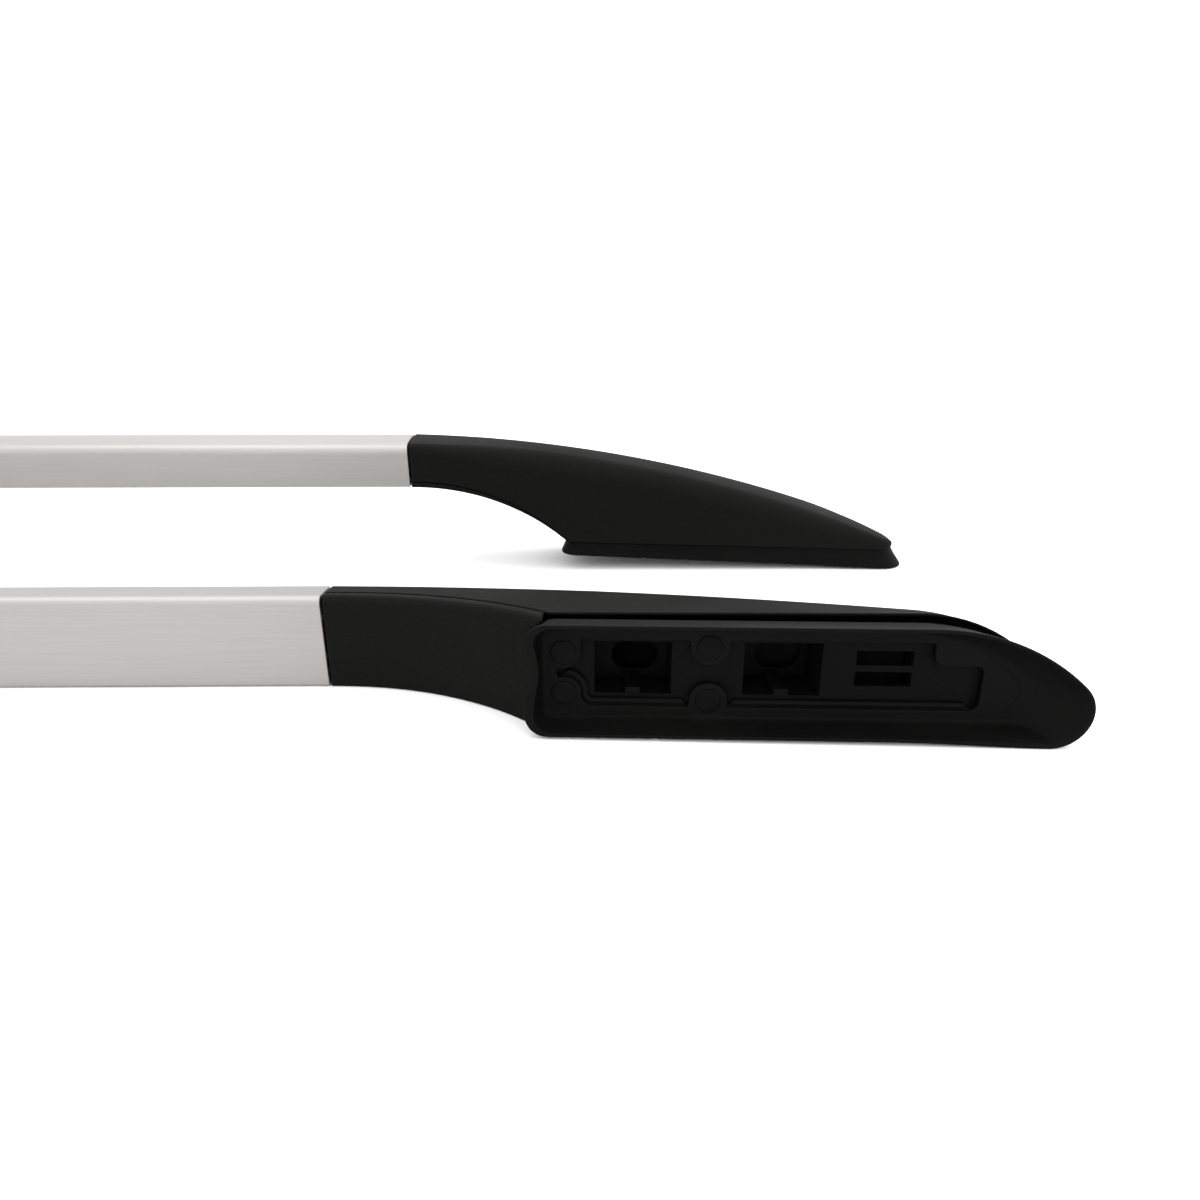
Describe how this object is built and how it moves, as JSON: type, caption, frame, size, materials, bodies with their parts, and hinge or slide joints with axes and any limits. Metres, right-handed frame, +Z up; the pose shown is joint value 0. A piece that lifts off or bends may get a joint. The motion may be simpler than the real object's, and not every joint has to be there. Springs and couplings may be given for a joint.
{
  "type": "roof side rail pair",
  "caption": "Pair of raised roof side rails: satin aluminium bars on moulded black feet; one rail stands, the other lies on its side showing its ribbed base.",
  "frame": {"origin": "middle of the pair's bounding box, on the floor that the rails rest on", "axes": "+X along the rails towards their front feet, +Y from the lying rail to the standing rail, +Z up"},
  "size_m": [1.4992, 0.2344, 0.0748],
  "materials": {
    "satin_bar": "satin anodised with fine lengthwise grain",
    "black_moulding": "matte with a fine grain",
    "soft_rubber": "smooth and soft",
    "pin_plastic": "smooth",
    "plated_steel": "plated"
  },
  "bodies": {
    "root": {"left_bar": "satin_bar", "left_front_cover": "black_moulding", "left_front_carrier": "black_moulding", "left_front_gasket": "soft_rubber", "left_front_studs": "pin_plastic", "left_front_screws": "plated_steel", "left_rear_cover": "black_moulding", "left_rear_carrier": "black_moulding", "left_rear_gasket": "soft_rubber", "left_rear_studs": "pin_plastic", "left_rear_screws": "plated_steel", "right_bar": "satin_bar", "right_front_cover": "black_moulding", "right_front_carrier": "black_moulding", "right_front_gasket": "soft_rubber", "right_front_studs": "pin_plastic", "right_front_screws": "plated_steel", "right_rear_cover": "black_moulding", "right_rear_carrier": "black_moulding", "right_rear_gasket": "soft_rubber", "right_rear_studs": "pin_plastic", "right_rear_screws": "plated_steel"}
  },
  "joints": []
}
